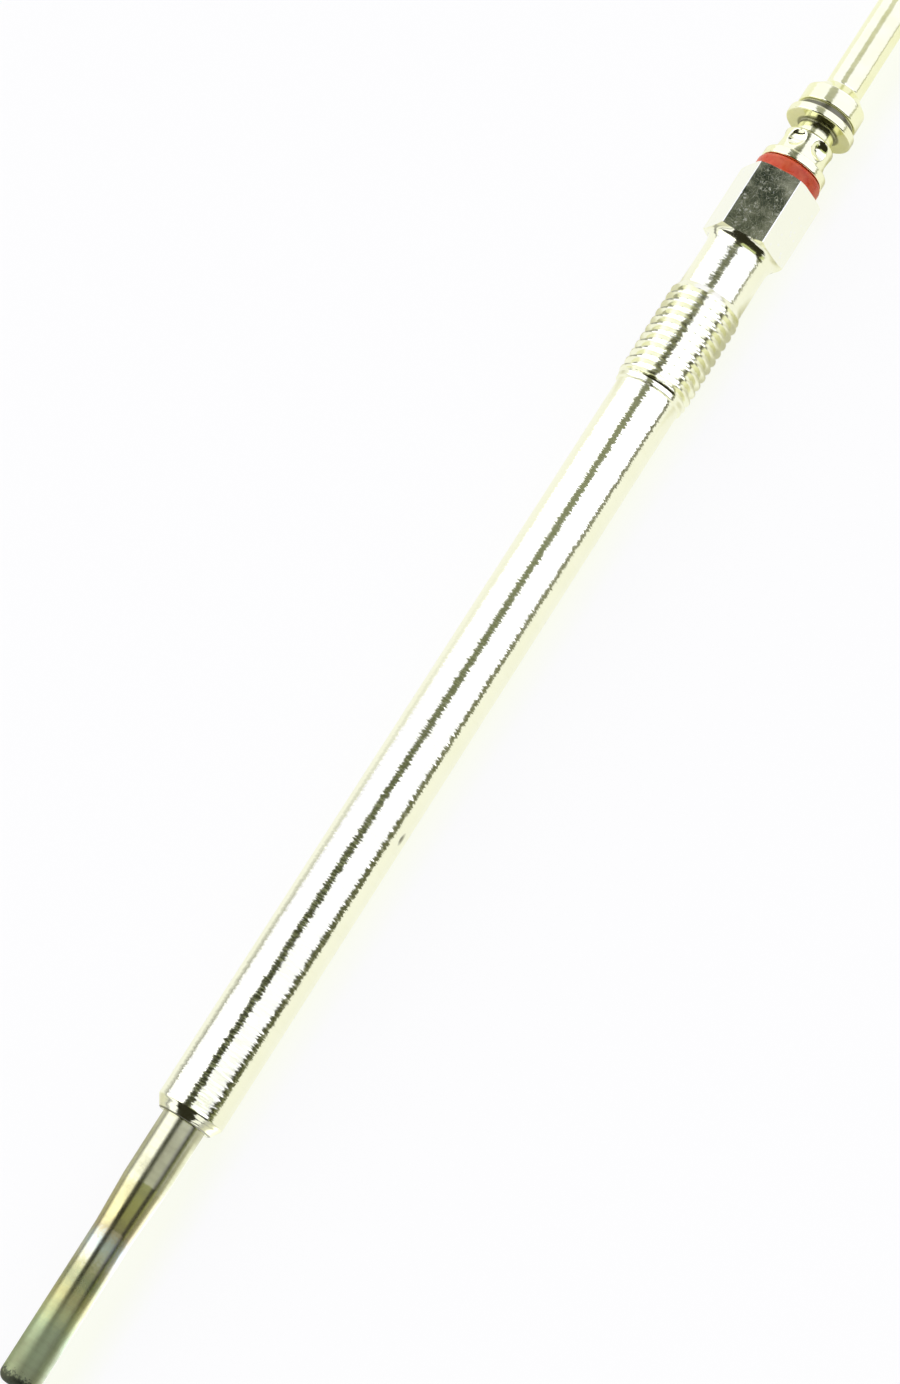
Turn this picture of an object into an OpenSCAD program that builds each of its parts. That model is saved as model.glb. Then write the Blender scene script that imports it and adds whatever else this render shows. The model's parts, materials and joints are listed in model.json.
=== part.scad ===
// Diesel glow plug, lying on its side: the axis runs along X and the terminal points to +X.
// The origin is on the axis, at the wide edge of the sealing cone. All sizes are in millimetres.

/* [Heater sheath] */
// Length of sheath that stands out of the body
sheath_out = 28.6; // [26:0.1:40]
// Diameter of the swaged lower part
sheath_d = 4.0; // [3.6:0.1:4.4]
// Diameter of the upper part, which the body grips
sheath_top_d = 4.5; // [4.4:0.1:4.9]
// Length of the lower part, from the tip to the taper
sheath_low_len = 16.7; // [12:0.1:20]
// Length of the taper between the two diameters
swage_len = 5.1; // [2:0.1:6]
// Radius on the edge of the closed tip
tip_radius = 1.1; // [0.6:0.1:1.5]
// Wall thickness of the sheath
sheath_wall = 0.5; // [0.35:0.05:0.6]
// Thickness of the closed tip
tip_wall = 1.0; // [0.6:0.1:1.6]
// Length of sheath held inside the body
sheath_grip = 28; // [15:0.5:45]

/* [Coils and filling] */
// Diameter of both coil wires
wire_d = 0.35; // [0.25:0.05:0.45]
// Mean diameter of both coils
coil_d = 1.5; // [1.3:0.1:1.7]
// Turns of the heating coil
heating_turns = 8; // [5:1:10]
// Turns of the control coil
control_turns = 12; // [8:1:14]
// Pitch of the heating coil
heating_pitch = 0.95; // [0.8:0.05:1.1]
// Pitch of the control coil
control_pitch = 0.65; // [0.55:0.05:0.75]
// Length of each straight lead with its bend
lead_len = 1.1; // [0.9:0.1:1.4]
// Bend radius where a coil turns into its lead
lead_bend = 0.4; // [0.3:0.05:0.5]
// Length of the rubber plug in the top of the sheath
seal_len = 4; // [2:0.5:8]

/* [Body] */
// Diameter at the narrow end of the sealing cone
seat_small_d = 5.5; // [5.4:0.1:6.4]
// Length of the sealing cone
seat_len = 1.1; // [0.6:0.1:2]
// Diameter of the shank and of the neck above the thread
shank_d = 7.0; // [6.9:0.1:7.3]
// Length of the shank, from the sealing cone to the thread
shank_len = 83.4; // [50:0.1:110]
// Diameter over the crests of the thread
thread_d = 7.8; // [7.7:0.05:8]
// Diameter at the roots of the thread
thread_root_d = 6.8; // [6.5:0.05:7]
// Pitch of the thread
thread_pitch = 1.0; // [0.75:0.25:1.25]
// Length of the thread with the cones at its ends
thread_len = 12; // [8:0.1:20]
// Length of the cone at each end of the thread
run_out = 0.8; // [0.4:0.1:1.5]
// Length of the neck between the thread and the flare
neck_len = 5.6; // [2:0.1:10]
// Length of the flare under the hexagon
flare_len = 0.9; // [0.5:0.1:1.5]
// Diameter of the flare where it meets the hexagon
flare_d = 7.7; // [7.4:0.1:7.9]
// Width of the hexagon across its flats
hex_af = 8.0; // [8:0.1:10]
// Length of the hexagon
hex_len = 8.0; // [7:0.1:12]
// Diameter at which the turned chamfers on the hexagon begin
hex_face_d = 8.1; // [7.9:0.1:8.4]
// Depth of those chamfers at the hexagon's corners
hex_chamfer = 0.42; // [0.2:0.02:0.6]
// Bore around the centre pole
pole_bore_d = 4.0; // [3.6:0.1:4.2]
// Counterbore in the hexagon's end, for the seal and the insulating ring
counterbore_d = 6.0; // [5.6:0.1:6.4]

/* [Centre pole] */
// Diameter of the pole
pole_d = 3.1; // [2.8:0.1:3.2]
// Diameter of its foot, inside the sheath
pole_foot_d = 2.0; // [1.9:0.1:2.3]

/* [Insulating ring] */
// Outside diameter of the red ring
ring_d = 7.2; // [6.6:0.1:7.6]
// Thickness of the ring between the body and the terminal
ring_t = 1.8; // [1:0.1:3]
// Radius on the ring's edge towards the terminal
ring_round = 0.55; // [0.2:0.05:0.8]
// Length of the spigot that enters the body
spigot_len = 2.0; // [1:0.1:3]

/* [Terminal] */
// Diameter of the sleeve that is crimped on the pole
sleeve_d = 5.5; // [5.2:0.1:6]
// Length of the sleeve with its collar
sleeve_len = 4.0; // [3.4:0.1:6]
// Diameter of the collar at the sleeve's foot
collar_d = 7.0; // [6.6:0.1:7.2]
// Thickness of that collar
collar_t = 1.0; // [0.6:0.1:1.4]
// Diameter of the neck under the flange
term_neck_d = 4.0; // [3.8:0.1:4.6]
// Length of that neck
term_neck_len = 1.5; // [0.8:0.1:3]
// Diameter of the flange
flange_d = 7.45; // [7:0.05:9]
// Thickness of the flange
flange_t = 0.9; // [0.5:0.1:2]
// Diameter at the bottom of the groove above the flange
groove_d = 6.0; // [5:0.1:6.4]
// Width of the groove
groove_w = 0.8; // [0.4:0.1:1.5]
// Diameter of the shoulder above the groove
shoulder_d = 6.7; // [6.5:0.1:7]
// Length of the shoulder's straight part
shoulder_len = 1.9; // [1:0.1:4]
// Length of the cone from the shoulder to the pin
cone_len = 1.3; // [0.6:0.1:3]
// Diameter of the contact pin
pin_d = 4.0; // [3.8:0.1:4.2]
// Length of the contact pin
pin_len = 15.2; // [8:0.1:20]
// Radius on the end of the pin
pin_round = 0.9; // [0.4:0.1:1.5]
// Dimples pressed around the sleeve
dimples = 6; // [4:1:8]
// Diameter of a dimple on the sleeve's surface
dimple_d = 2.0; // [1.4:0.1:2.2]
// Depth of a dimple
dimple_depth = 0.4; // [0.2:0.05:0.5]
// Distance from the terminal's foot to the middle of the dimples
dimple_at = 2.7; // [1.6:0.1:2.8]
// Turn of the first dimple away from straight up
dimple_turn = 40; // [0:1:60]
// Depth of the pole's hole in the terminal
pole_hole_len = 5.0; // [3:0.1:5.4]

/* [Clearances] */
// Clearance around a piece that is pressed, moulded or crimped in
fit_gap = 0.02; // [0.01:0.01:0.04]
// Clearance around a wire in the filling
wire_gap = 0.05; // [0.03:0.01:0.08]
// Clearance between the pole and the hole of the insulating ring
ring_gap = 0.05; // [0.02:0.01:0.1]
// Clearance between two ends that stop short of each other
end_gap = 0.2; // [0.1:0.05:0.5]

/* [Hidden] */
$fn = 96;

// Places along the axis, from the tip to the end of the pin
body_low = -seat_len;
tip_z = body_low - sheath_out;
low_end = tip_z + sheath_low_len;
swage_end = low_end + swage_len;
sheath_end = body_low + sheath_grip;
thread_z = shank_len;
neck_z = thread_z + thread_len;
flare_z = neck_z + neck_len;
hex_z = flare_z + flare_len;
hex_end = hex_z + hex_len;
term_z = hex_end + ring_t;
sleeve_end = term_z + sleeve_len;
flange_z = sleeve_end + term_neck_len;
groove_z = flange_z + flange_t;
shoulder_z = groove_z + groove_w;
cone_z = shoulder_z + shoulder_len;
pin_z = cone_z + cone_len;
pin_end = pin_z + pin_len;

// The sheath's inside
cavity_z = tip_z + tip_wall;
cavity_r = sheath_d / 2 - sheath_wall;
cavity_top_r = sheath_top_d / 2 - sheath_wall;
filling_end = sheath_end - seal_len;

// The coils stand one after the other between the tip and the foot of the pole
wire_r = wire_d / 2;
coil_r = coil_d / 2;
heating_z = cavity_z + lead_len;
heating_end = heating_z + heating_turns * heating_pitch;
weld_z = heating_end + lead_len;
control_z = weld_z + lead_len;
control_end = control_z + control_turns * control_pitch;
pole_foot_z = control_end + lead_len;
lead_r = norm([coil_r, lead_bend]);
lead_angle = atan2(lead_bend, coil_r);
wire_sides = 6;
turn_steps = 12;
bend_steps = 3;

// The seal and the ring's spigot share the counterbore
pole_r = pole_d / 2;
counterbore_r = counterbore_d / 2;
o_ring_d = counterbore_r - pole_r - 2 * fit_gap;
counterbore_z = hex_end - spigot_len - o_ring_d - 2 * fit_gap;
pole_end = term_z + pole_hole_len - end_gap;

// Thread form: a V with its crest and root cut flat
thread_angle = 60;
thread_r = thread_d / 2;
thread_root_r = thread_root_d / 2;
thread_flank = (thread_r - thread_root_r) * tan(thread_angle / 2);
thread_crest = thread_pitch / 6;
groove_span = thread_len - 2 * run_out - thread_crest;
thread_turns = floor(groove_span / thread_pitch);
thread_first = thread_z + run_out + (groove_span - thread_turns * thread_pitch) / 2 + thread_crest;

// Small edge breaks
edge_break = 0.15;
sleeve_round = 0.35;
arc_steps = 8;

// How far a cut runs past the face it opens
overrun = 1;

// The hexagon's turned blank is larger than its corners, and its chamfers run on to the blank's edge
hex_sides = 6;
hex_corner_r = hex_af / 2 / cos(180 / hex_sides);
blank_r = hex_corner_r + overrun;
blank_drop = hex_chamfer * (blank_r - hex_face_d / 2) / (hex_corner_r - hex_face_d / 2);

// Turns the upright solids so that their axis lies along X, with the first angle straight up
module lay_down() {
    rotate([0, 90, 0])
        rotate([0, 0, 180])
            children();
}

// Points on an arc about c, from angle a to angle b
function arc(c, r, a, b) = [
    for (i = [0 : arc_steps])
        let (t = a + (b - a) * i / arc_steps)
        [c[0] + r * cos(t), c[1] + r * sin(t)]
];

// One thread groove as seen in section, from its lower crest edge to its upper one
function thread_groove(z) = [
    [thread_r, z],
    [thread_root_r, z + thread_flank],
    [thread_root_r, z + thread_pitch - thread_crest - thread_flank],
    [thread_r, z + thread_pitch - thread_crest]
];

thread_outline = [
    for (i = [0 : thread_turns - 1])
        each thread_groove(thread_first + i * thread_pitch)
];

// Concave flare from the neck out to the hexagon
flare_outline = [
    for (i = [0 : arc_steps])
        let (t = 90 * i / arc_steps)
        [shank_d / 2 + (flare_d - shank_d) / 2 * (1 - cos(t)), flare_z + flare_len * sin(t)]
];

// The body as it is turned, with a round blank where the hexagon will be
module turned_body() {
    rotate_extrude()
        polygon(concat(
            [[0, body_low], [seat_small_d / 2, body_low], [shank_d / 2, 0], [shank_d / 2, thread_z]],
            [[thread_r, thread_z + run_out]],
            thread_outline,
            [[thread_r, neck_z - run_out], [shank_d / 2, neck_z]],
            flare_outline,
            [[hex_face_d / 2, hex_z], [blank_r, hex_z + blank_drop]],
            [[blank_r, hex_end - blank_drop], [hex_face_d / 2, hex_end], [0, hex_end]]
        ));
}

// Cuts the blank down to the hexagon, with a flat facing straight down
module hexagon_cut() {
    for (i = [0 : hex_sides - 1])
        rotate([0, 0, 360 * i / hex_sides])
            translate([hex_af / 2, -blank_r, hex_z - overrun])
                cube([blank_r, 2 * blank_r, hex_len + 2 * overrun]);
}

// Room for the sheath, the pole and the seals
module body_bore() {
    grip_end = sheath_end + end_gap;
    translate([0, 0, body_low - overrun])
        cylinder(d = sheath_top_d + 2 * fit_gap, h = grip_end - body_low + overrun);
    translate([0, 0, grip_end - overrun])
        cylinder(d = pole_bore_d, h = hex_end - grip_end + overrun);
    translate([0, 0, counterbore_z])
        cylinder(r = counterbore_r, h = hex_end - counterbore_z + overrun);
}

module body_shell() {
    color("#d9d8c8")
        lay_down()
            difference() {
                turned_body();
                hexagon_cut();
                body_bore();
            }
}

// Inside of the sheath, drawn smaller by a clearance
function cavity_outline(gap, top) = [
    [0, cavity_z + gap],
    [cavity_r - gap, cavity_z + gap],
    [cavity_r - gap, low_end],
    [cavity_top_r - gap, swage_end],
    [cavity_top_r - gap, top],
    [0, top]
];

module heater_tube() {
    low_r = sheath_d / 2;
    top_r = sheath_top_d / 2;
    color("#9a9c80")
        lay_down()
            difference() {
                rotate_extrude()
                    polygon(concat(
                        [[0, tip_z]],
                        arc([low_r - tip_radius, tip_z + tip_radius], tip_radius, -90, 0),
                        [[low_r, low_end], [top_r, swage_end], [top_r, sheath_end], [0, sheath_end]]
                    ));
                rotate_extrude()
                    polygon(cavity_outline(0, sheath_end + overrun));
            }
}

// The bend of a lead: forward along the last turn, then round to the axis
function bend_point(a, z, way, t) =
    let (forward = lead_bend * sin(t), rise = lead_bend * (1 - cos(t)))
    [coil_r * cos(a) - way * forward * sin(a), coil_r * sin(a) + way * forward * cos(a), z + way * rise];

// Path of one coil between two faces, with a straight lead at each end
function coil_path(from, to, turns, pitch) =
    let (z0 = from + lead_len, z1 = to - lead_len, steps = turns * turn_steps)
    concat(
        [let (p = bend_point(0, z0, -1, 90)) [p[0], p[1], from]],
        [for (i = [bend_steps : -1 : 1]) bend_point(0, z0, -1, 90 * i / bend_steps)],
        [
            for (i = [0 : steps])
                let (a = 360 * i / turn_steps)
                [coil_r * cos(a), coil_r * sin(a), z0 + (z1 - z0) * i / steps]
        ],
        [for (i = [1 : bend_steps]) bend_point(0, z1, 1, 90 * i / bend_steps)],
        [let (p = bend_point(0, z1, 1, 90)) [p[0], p[1], to]]
    );

function unit(v) = v / norm(v);

// Ring of wire points around a place on the path
function wire_ring(at, along) =
    let (out = unit([at[0], at[1], 0]), side = unit(out - (out * along) * along), up = cross(along, side))
    [
        for (k = [0 : wire_sides - 1])
            let (t = 360 * k / wire_sides)
            at + wire_r * (cos(t) * side + sin(t) * up)
    ];

// Direction of the path at one of its points, straight at both ends
function path_along(path, i) =
    let (last = len(path) - 1)
    i == 0 ? unit(path[1] - path[0])
    : i == last ? unit(path[last] - path[last - 1])
    : unit(unit(path[i + 1] - path[i]) + unit(path[i] - path[i - 1]));

module wire(path) {
    n = wire_sides;
    rings = len(path);
    points = [for (i = [0 : rings - 1]) each wire_ring(path[i], path_along(path, i))];
    sides = [
        for (i = [0 : rings - 2], k = [0 : n - 1])
            let (a = i * n + k, b = i * n + (k + 1) % n)
            each [[a, b + n, b], [a, a + n, b + n]]
    ];
    foot = [for (k = [1 : n - 2]) [0, k, k + 1]];
    top = [for (k = [1 : n - 2]) let (o = (rings - 1) * n) [o, o + k + 1, o + k]];
    polyhedron(points, concat(foot, sides, top));
}

module heating_coil() {
    color("#8c8f94")
        lay_down()
            wire(coil_path(cavity_z, weld_z, heating_turns, heating_pitch));
}

// Its lower lead stands on the heating coil's upper one
module control_coil() {
    color("#b0a890")
        lay_down()
            rotate([0, 0, 2 * lead_angle])
                wire(coil_path(weld_z, pole_foot_z, control_turns, control_pitch));
}

// Ring-shaped room for the turns of one coil and its two bends
module coil_room(z0, z1) {
    reach = lead_r + wire_r + 2 * wire_gap;
    ends = lead_bend + wire_gap;
    translate([0, 0, z0 - ends])
        difference() {
            cylinder(r = reach, h = z1 - z0 + 2 * ends);
            translate([0, 0, -overrun])
                cylinder(r = coil_r - wire_r - wire_gap, h = z1 - z0 + 2 * ends + 2 * overrun);
        }
}

// Straight hole for a lead
module lead_hole(z0, z1, turn) {
    rotate([0, 0, turn])
        translate([lead_r, 0, z0])
            cylinder(r = wire_r + wire_gap, h = z1 - z0);
}

module insulating_powder() {
    color("#e6e2d2")
        lay_down()
            difference() {
                rotate_extrude()
                    polygon(cavity_outline(fit_gap, filling_end - fit_gap));
                coil_room(heating_z, heating_end);
                coil_room(control_z, control_end);
                lead_hole(cavity_z - overrun, heating_z, -lead_angle);
                lead_hole(heating_end, control_z, lead_angle);
                lead_hole(control_end, pole_foot_z, 3 * lead_angle);
                translate([0, 0, pole_foot_z - fit_gap])
                    cylinder(d = pole_foot_d + 2 * fit_gap, h = filling_end - pole_foot_z + overrun);
            }
}

module tube_seal() {
    color("#3a3a38")
        lay_down()
            translate([0, 0, filling_end])
                difference() {
                    cylinder(r = cavity_top_r - fit_gap, h = seal_len);
                    translate([0, 0, -overrun])
                        cylinder(d = pole_foot_d + 2 * fit_gap, h = seal_len + 2 * overrun);
                }
}

module center_pole() {
    pole_z = sheath_end + end_gap;
    color("#b9b9b2")
        lay_down()
            rotate_extrude()
                polygon([
                    [0, pole_foot_z], [pole_foot_d / 2, pole_foot_z],
                    [pole_foot_d / 2, pole_z], [pole_r - edge_break, pole_z], [pole_r, pole_z + edge_break],
                    [pole_r, pole_end - edge_break], [pole_r - edge_break, pole_end], [0, pole_end]
                ]);
}

module o_ring() {
    color("#2c2c2c")
        lay_down()
            translate([0, 0, counterbore_z + fit_gap + o_ring_d / 2])
                rotate_extrude()
                    translate([(counterbore_r + pole_r) / 2, 0])
                        circle(d = o_ring_d);
}

module insulating_ring() {
    hole_r = pole_r + ring_gap;
    spigot_r = counterbore_r - fit_gap;
    color("#c8352a")
        lay_down()
            rotate_extrude()
                polygon(concat(
                    [[hole_r, hex_end - spigot_len], [spigot_r, hex_end - spigot_len], [spigot_r, hex_end]],
                    [[ring_d / 2 - edge_break, hex_end], [ring_d / 2, hex_end + edge_break]],
                    arc([ring_d / 2 - ring_round, term_z - ring_round], ring_round, 0, 90),
                    [[hole_r, term_z]]
                ));
}

// Collar on which the terminal stands
module terminal_collar() {
    collar_r = collar_d / 2;
    collar_end = term_z + collar_t;
    rotate_extrude()
        polygon([
            [0, term_z], [collar_r - edge_break, term_z], [collar_r, term_z + edge_break],
            [collar_r, collar_end - edge_break], [collar_r - edge_break, collar_end], [0, collar_end]
        ]);
}

// Outline of the rest of the terminal, from inside the collar to the end of the pin
terminal_outline = concat(
    [[0, term_z + collar_t / 2], [sleeve_d / 2, term_z + collar_t / 2]],
    arc([sleeve_d / 2 - sleeve_round, sleeve_end - sleeve_round], sleeve_round, 0, 90),
    [[term_neck_d / 2, sleeve_end], [term_neck_d / 2, flange_z]],
    [[flange_d / 2 - edge_break, flange_z], [flange_d / 2, flange_z + edge_break]],
    [[flange_d / 2, groove_z - edge_break], [flange_d / 2 - edge_break, groove_z]],
    [[groove_d / 2, groove_z], [groove_d / 2, shoulder_z]],
    [[shoulder_d / 2 - edge_break, shoulder_z], [shoulder_d / 2, shoulder_z + edge_break]],
    [[shoulder_d / 2, cone_z], [pin_d / 2, pin_z]],
    arc([pin_d / 2 - pin_round, pin_end - pin_round], pin_round, 0, 90),
    [[0, pin_end]]
);

// The sleeve with its pressed dimples, the flange, the shoulder and the pin
module dimpled_contact() {
    dimple_r = (pow(dimple_d / 2, 2) + pow(dimple_depth, 2)) / (2 * dimple_depth);
    difference() {
        rotate_extrude()
            polygon(terminal_outline);
        for (i = [0 : dimples - 1])
            rotate([0, 0, dimple_turn + 360 * i / dimples])
                translate([sleeve_d / 2 - dimple_depth + dimple_r, 0, term_z + dimple_at])
                    sphere(r = dimple_r);
    }
}

module terminal() {
    color("#dcd9c2")
        lay_down()
            difference() {
                union() {
                    terminal_collar();
                    dimpled_contact();
                }
                translate([0, 0, term_z - overrun])
                    cylinder(r = pole_r + fit_gap, h = pole_hole_len + overrun);
            }
}

body_shell();
heater_tube();
heating_coil();
control_coil();
insulating_powder();
tube_seal();
center_pole();
o_ring();
insulating_ring();
terminal();
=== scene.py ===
import json
import bpy
import numpy as np
from mathutils import Matrix, Vector

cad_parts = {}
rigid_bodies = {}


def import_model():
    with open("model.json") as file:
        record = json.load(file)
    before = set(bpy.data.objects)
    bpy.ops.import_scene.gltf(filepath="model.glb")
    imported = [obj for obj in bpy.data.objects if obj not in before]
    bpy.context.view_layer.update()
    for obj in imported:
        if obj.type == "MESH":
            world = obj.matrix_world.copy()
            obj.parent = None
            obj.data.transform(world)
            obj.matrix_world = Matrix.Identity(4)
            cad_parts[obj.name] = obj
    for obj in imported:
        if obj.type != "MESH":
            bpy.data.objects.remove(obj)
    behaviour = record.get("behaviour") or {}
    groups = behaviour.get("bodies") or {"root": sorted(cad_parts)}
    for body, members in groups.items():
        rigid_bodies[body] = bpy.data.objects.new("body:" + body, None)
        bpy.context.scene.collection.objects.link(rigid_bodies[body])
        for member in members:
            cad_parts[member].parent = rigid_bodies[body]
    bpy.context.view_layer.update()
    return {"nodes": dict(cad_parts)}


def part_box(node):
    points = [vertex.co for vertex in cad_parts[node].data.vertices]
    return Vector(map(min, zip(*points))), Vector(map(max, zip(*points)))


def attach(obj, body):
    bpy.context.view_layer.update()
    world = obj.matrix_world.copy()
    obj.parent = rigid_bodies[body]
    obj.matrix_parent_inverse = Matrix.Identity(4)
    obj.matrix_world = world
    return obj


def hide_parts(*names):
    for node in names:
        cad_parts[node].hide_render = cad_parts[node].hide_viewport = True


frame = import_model()
mm = 0.001  # lengths in the dictionaries are millimetres
print("frame loaded:", len(frame["nodes"]), "nodes")


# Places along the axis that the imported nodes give, in mm
def spanOf(node):
    low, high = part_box(node)
    return low.x / mm, high.x / mm


bodyLow, hexEnd = spanOf("body_shell")
tipAt, sheathEnd = spanOf("heater_tube")
spigotAt, ringEnd = spanOf("insulating_ring")
sleeveFoot, pinEnd = spanOf("terminal")
sealAt = spanOf("o_ring")[0]
poleFoot = spanOf("center_pole")[0]
coilFoot, coilWeld = spanOf("heating_coil")
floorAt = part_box("body_shell")[0].z


# Points at distance r from the axis; angle 0 is straight up and grows towards -Y
def around(x, r, angle):
    x, r, angle = np.broadcast_arrays(x, r, angle)
    return np.stack([x, -r * np.sin(angle), r * np.cos(angle)], axis=-1)


# So many even angles in a full turn
def evenAngles(count):
    return np.radians(np.arange(count) * 360 / count)


# Outline of a turned piece from corners (x, radius, fillet, spacing). A fillet is an arc that touches both
# sides of its corner and takes at most a share of the shorter one. Each straight side gets a point close to
# both ends, so that long faces shade flat, and more points where a spacing is given for the side after the
# corner.
def turnedOutline(corners, closed=False, arcSteps=6, hold=0.05, share=0.48):
    point = np.array([c[:2] for c in corners], float)
    fillet = [c[2] if len(c) > 2 else 0.0 for c in corners]
    spacing = [c[3] if len(c) > 3 else 0.0 for c in corners]
    count = len(corners)
    stretches = []
    for i in range(count):
        if fillet[i] == 0:
            stretches.append(point[i:i + 1])
            continue
        back = point[i - 1] - point[i]
        on = point[(i + 1) % count] - point[i]
        reach = share * min(np.linalg.norm(back), np.linalg.norm(on))
        back, on = back / np.linalg.norm(back), on / np.linalg.norm(on)
        half = np.arccos(np.clip(back @ on, -1, 1)) / 2
        touch = min(fillet[i] / np.tan(half), reach)
        radius = touch * np.tan(half)
        middle = (back + on) / np.linalg.norm(back + on)
        centre = point[i] + middle * radius / np.sin(half)
        first, last = point[i] + back * touch - centre, point[i] + on * touch - centre
        sweep = np.pi - 2 * half
        part = np.linspace(0, 1, arcSteps + 1)[:, None]
        arc = np.sin((1 - part) * sweep) * first + np.sin(part * sweep) * last
        stretches.append(centre + arc / np.sin(sweep))
    outline = []
    for i in range(count):
        outline.append(stretches[i])
        if i == count - 1 and not closed:
            break
        start, end = stretches[i][-1], stretches[(i + 1) % count][0]
        length = np.linalg.norm(end - start)
        if length > 4 * hold:
            steps = int(np.ceil(length / spacing[i])) if spacing[i] else 1
            inner = np.linspace(0, 1, steps + 1)[1:-1]
            at = np.concatenate([[hold / length], inner, [1 - hold / length]])
            outline.append(start + at[:, None] * (end - start))
    return np.vstack(outline)


# A grid of points (rows along the outline, columns round the axis) becomes one closed mesh. The last column
# joins the first. Without poles the last row joins the first too; with poles the end rows close on two single
# points.
def makePiece(name, rows, poles=None, sharp=35):
    rowCount, columnCount = rows.shape[:2]
    lastRow = rowCount if poles is None else rowCount - 1
    i, j = np.meshgrid(np.arange(lastRow), np.arange(columnCount), indexing="ij")
    nextRow, nextColumn = (i + 1) % rowCount, (j + 1) % columnCount
    corners = [i * columnCount + j, i * columnCount + nextColumn,
               nextRow * columnCount + nextColumn, nextRow * columnCount + j]
    faces = np.stack(corners, axis=-1).reshape(-1, 4).tolist()
    points = rows.reshape(-1, 3)
    if poles is not None:
        ring = np.arange(columnCount)
        turned = (ring + 1) % columnCount
        top = (rowCount - 1) * columnCount
        foot, head = len(points), len(points) + 1
        points = np.vstack([points, poles])
        faces += np.stack([np.full(columnCount, foot), turned, ring], axis=-1).tolist()
        faces += np.stack([top + ring, top + turned, np.full(columnCount, head)], axis=-1).tolist()
    mesh = bpy.data.meshes.new(name)
    mesh.from_pydata((points * mm).tolist(), [], faces)
    mesh.shade_smooth()
    mesh.set_sharp_from_angle(angle=np.radians(sharp))
    mesh.validate()
    piece = bpy.data.objects.new(name, mesh)
    bpy.context.scene.collection.objects.link(piece)
    return piece


# The same for a turned outline that starts and ends on the axis
def makeTurned(name, outline, angles, shift=None):
    inner = outline[1:-1]
    radius = inner[:, 1:2] + np.zeros(len(angles))
    if shift is not None:
        radius = radius + shift(inner[:, 0:1], inner[:, 1:2], angles)
    rows = around(inner[:, 0:1], radius, angles)
    poles = [[outline[0, 0], 0, 0], [outline[-1, 0], 0, 0]]
    return makePiece(name, rows, poles)


def smoothStep(low, high, value):
    part = np.clip((value - low) / (high - low), 0, 1)
    return part * part * (3 - 2 * part)


def settle(piece, node, slotName, *materials):
    for material in materials:
        piece.data.materials.append(material)
    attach(piece, "root")
    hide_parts(node)


# Short ways to add nodes: inputs are set or linked by name or number, settings go on the node itself
def put(tree, kind, inputs=None, **settings):
    node = tree.nodes.new("ShaderNode" + kind)
    for key, value in settings.items():
        setattr(node, key, value)
    for key, value in (inputs or {}).items():
        if isinstance(value, bpy.types.NodeSocket):
            tree.links.new(value, node.inputs[key])
        else:
            node.inputs[key].default_value = value
    return node


def calc(tree, operation, *values, clamp=False):
    return put(tree, "Math", dict(enumerate(values)), operation=operation, use_clamp=clamp).outputs[0]


def product(tree, first, *others):
    for other in others:
        first = calc(tree, "MULTIPLY", first, other)
    return first


def vectorCalc(tree, operation, *values):
    return put(tree, "VectorMath", dict(enumerate(values)), operation=operation).outputs[0]


def scaled(tree, vector, amount):
    return put(tree, "VectorMath", {0: vector, "Scale": amount}, operation="SCALE").outputs[0]


def distance(tree, first, second):
    return put(tree, "VectorMath", {0: first, 1: second}, operation="DISTANCE").outputs["Value"]


def remap(tree, value, low, high, newLow=0.0, newHigh=1.0, way="LINEAR"):
    inputs = {"Value": value, "From Min": low, "From Max": high, "To Min": newLow, "To Max": newHigh}
    return put(tree, "MapRange", inputs, interpolation_type=way, clamp=True).outputs[0]


# One between the middle two of four places, and nothing beyond the outer two
def window(tree, value, places):
    return product(tree, remap(tree, value, *places[:2]), remap(tree, value, places[3], places[2]))


# Value on a broken line through stops (place, value): each stretch adds its own rise
def brokenLine(tree, value, stops):
    total = stops[0][1]
    for (low, first), (high, last) in zip(stops, stops[1:]):
        total = calc(tree, "ADD", remap(tree, value, low, high, 0.0, last - first), total)
    return total


# A colour is a socket or three parts
def mixColor(tree, factor, first, second):
    first, second = [(*end, 1) if isinstance(end, tuple) else end for end in (first, second)]
    inputs = {0: factor, 6: first, 7: second}
    return put(tree, "Mix", inputs, data_type="RGBA", clamp_factor=True).outputs[2]


def mixValue(tree, factor, first, second):
    return put(tree, "Mix", {0: factor, 2: first, 3: second}, data_type="FLOAT").outputs[0]


def noiseOf(tree, vector, scale, detail=2.0, rough=0.5):
    inputs = {"Vector": vector, "Scale": scale, "Detail": detail, "Roughness": rough}
    return put(tree, "TexNoise", inputs).outputs["Fac"]


def rampOf(tree, value, stops):
    node = put(tree, "ValToRGB", {"Fac": value})
    marks = node.color_ramp.elements
    while len(marks) < len(stops):
        marks.new(0.5)
    for mark, (place, color) in zip(marks, stops):
        mark.position = place
        mark.color = (*color, 1)
    return node.outputs["Color"]


def objectPoint(tree):
    return put(tree, "TexCoord").outputs["Object"]


# Object coordinates in mm, as a vector and as three values
def pointInMm(tree):
    return scaled(tree, objectPoint(tree), 1 / mm)


def placeInMm(tree):
    return put(tree, "SeparateXYZ", {0: pointInMm(tree)}).outputs[:]


# Object coordinates counted in marks of so many metres along and across the axis
def markPoint(tree, along, across):
    size = put(tree, "CombineXYZ", {0: along, 1: across, 2: across}).outputs[0]
    return vectorCalc(tree, "DIVIDE", objectPoint(tree), size)


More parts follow.
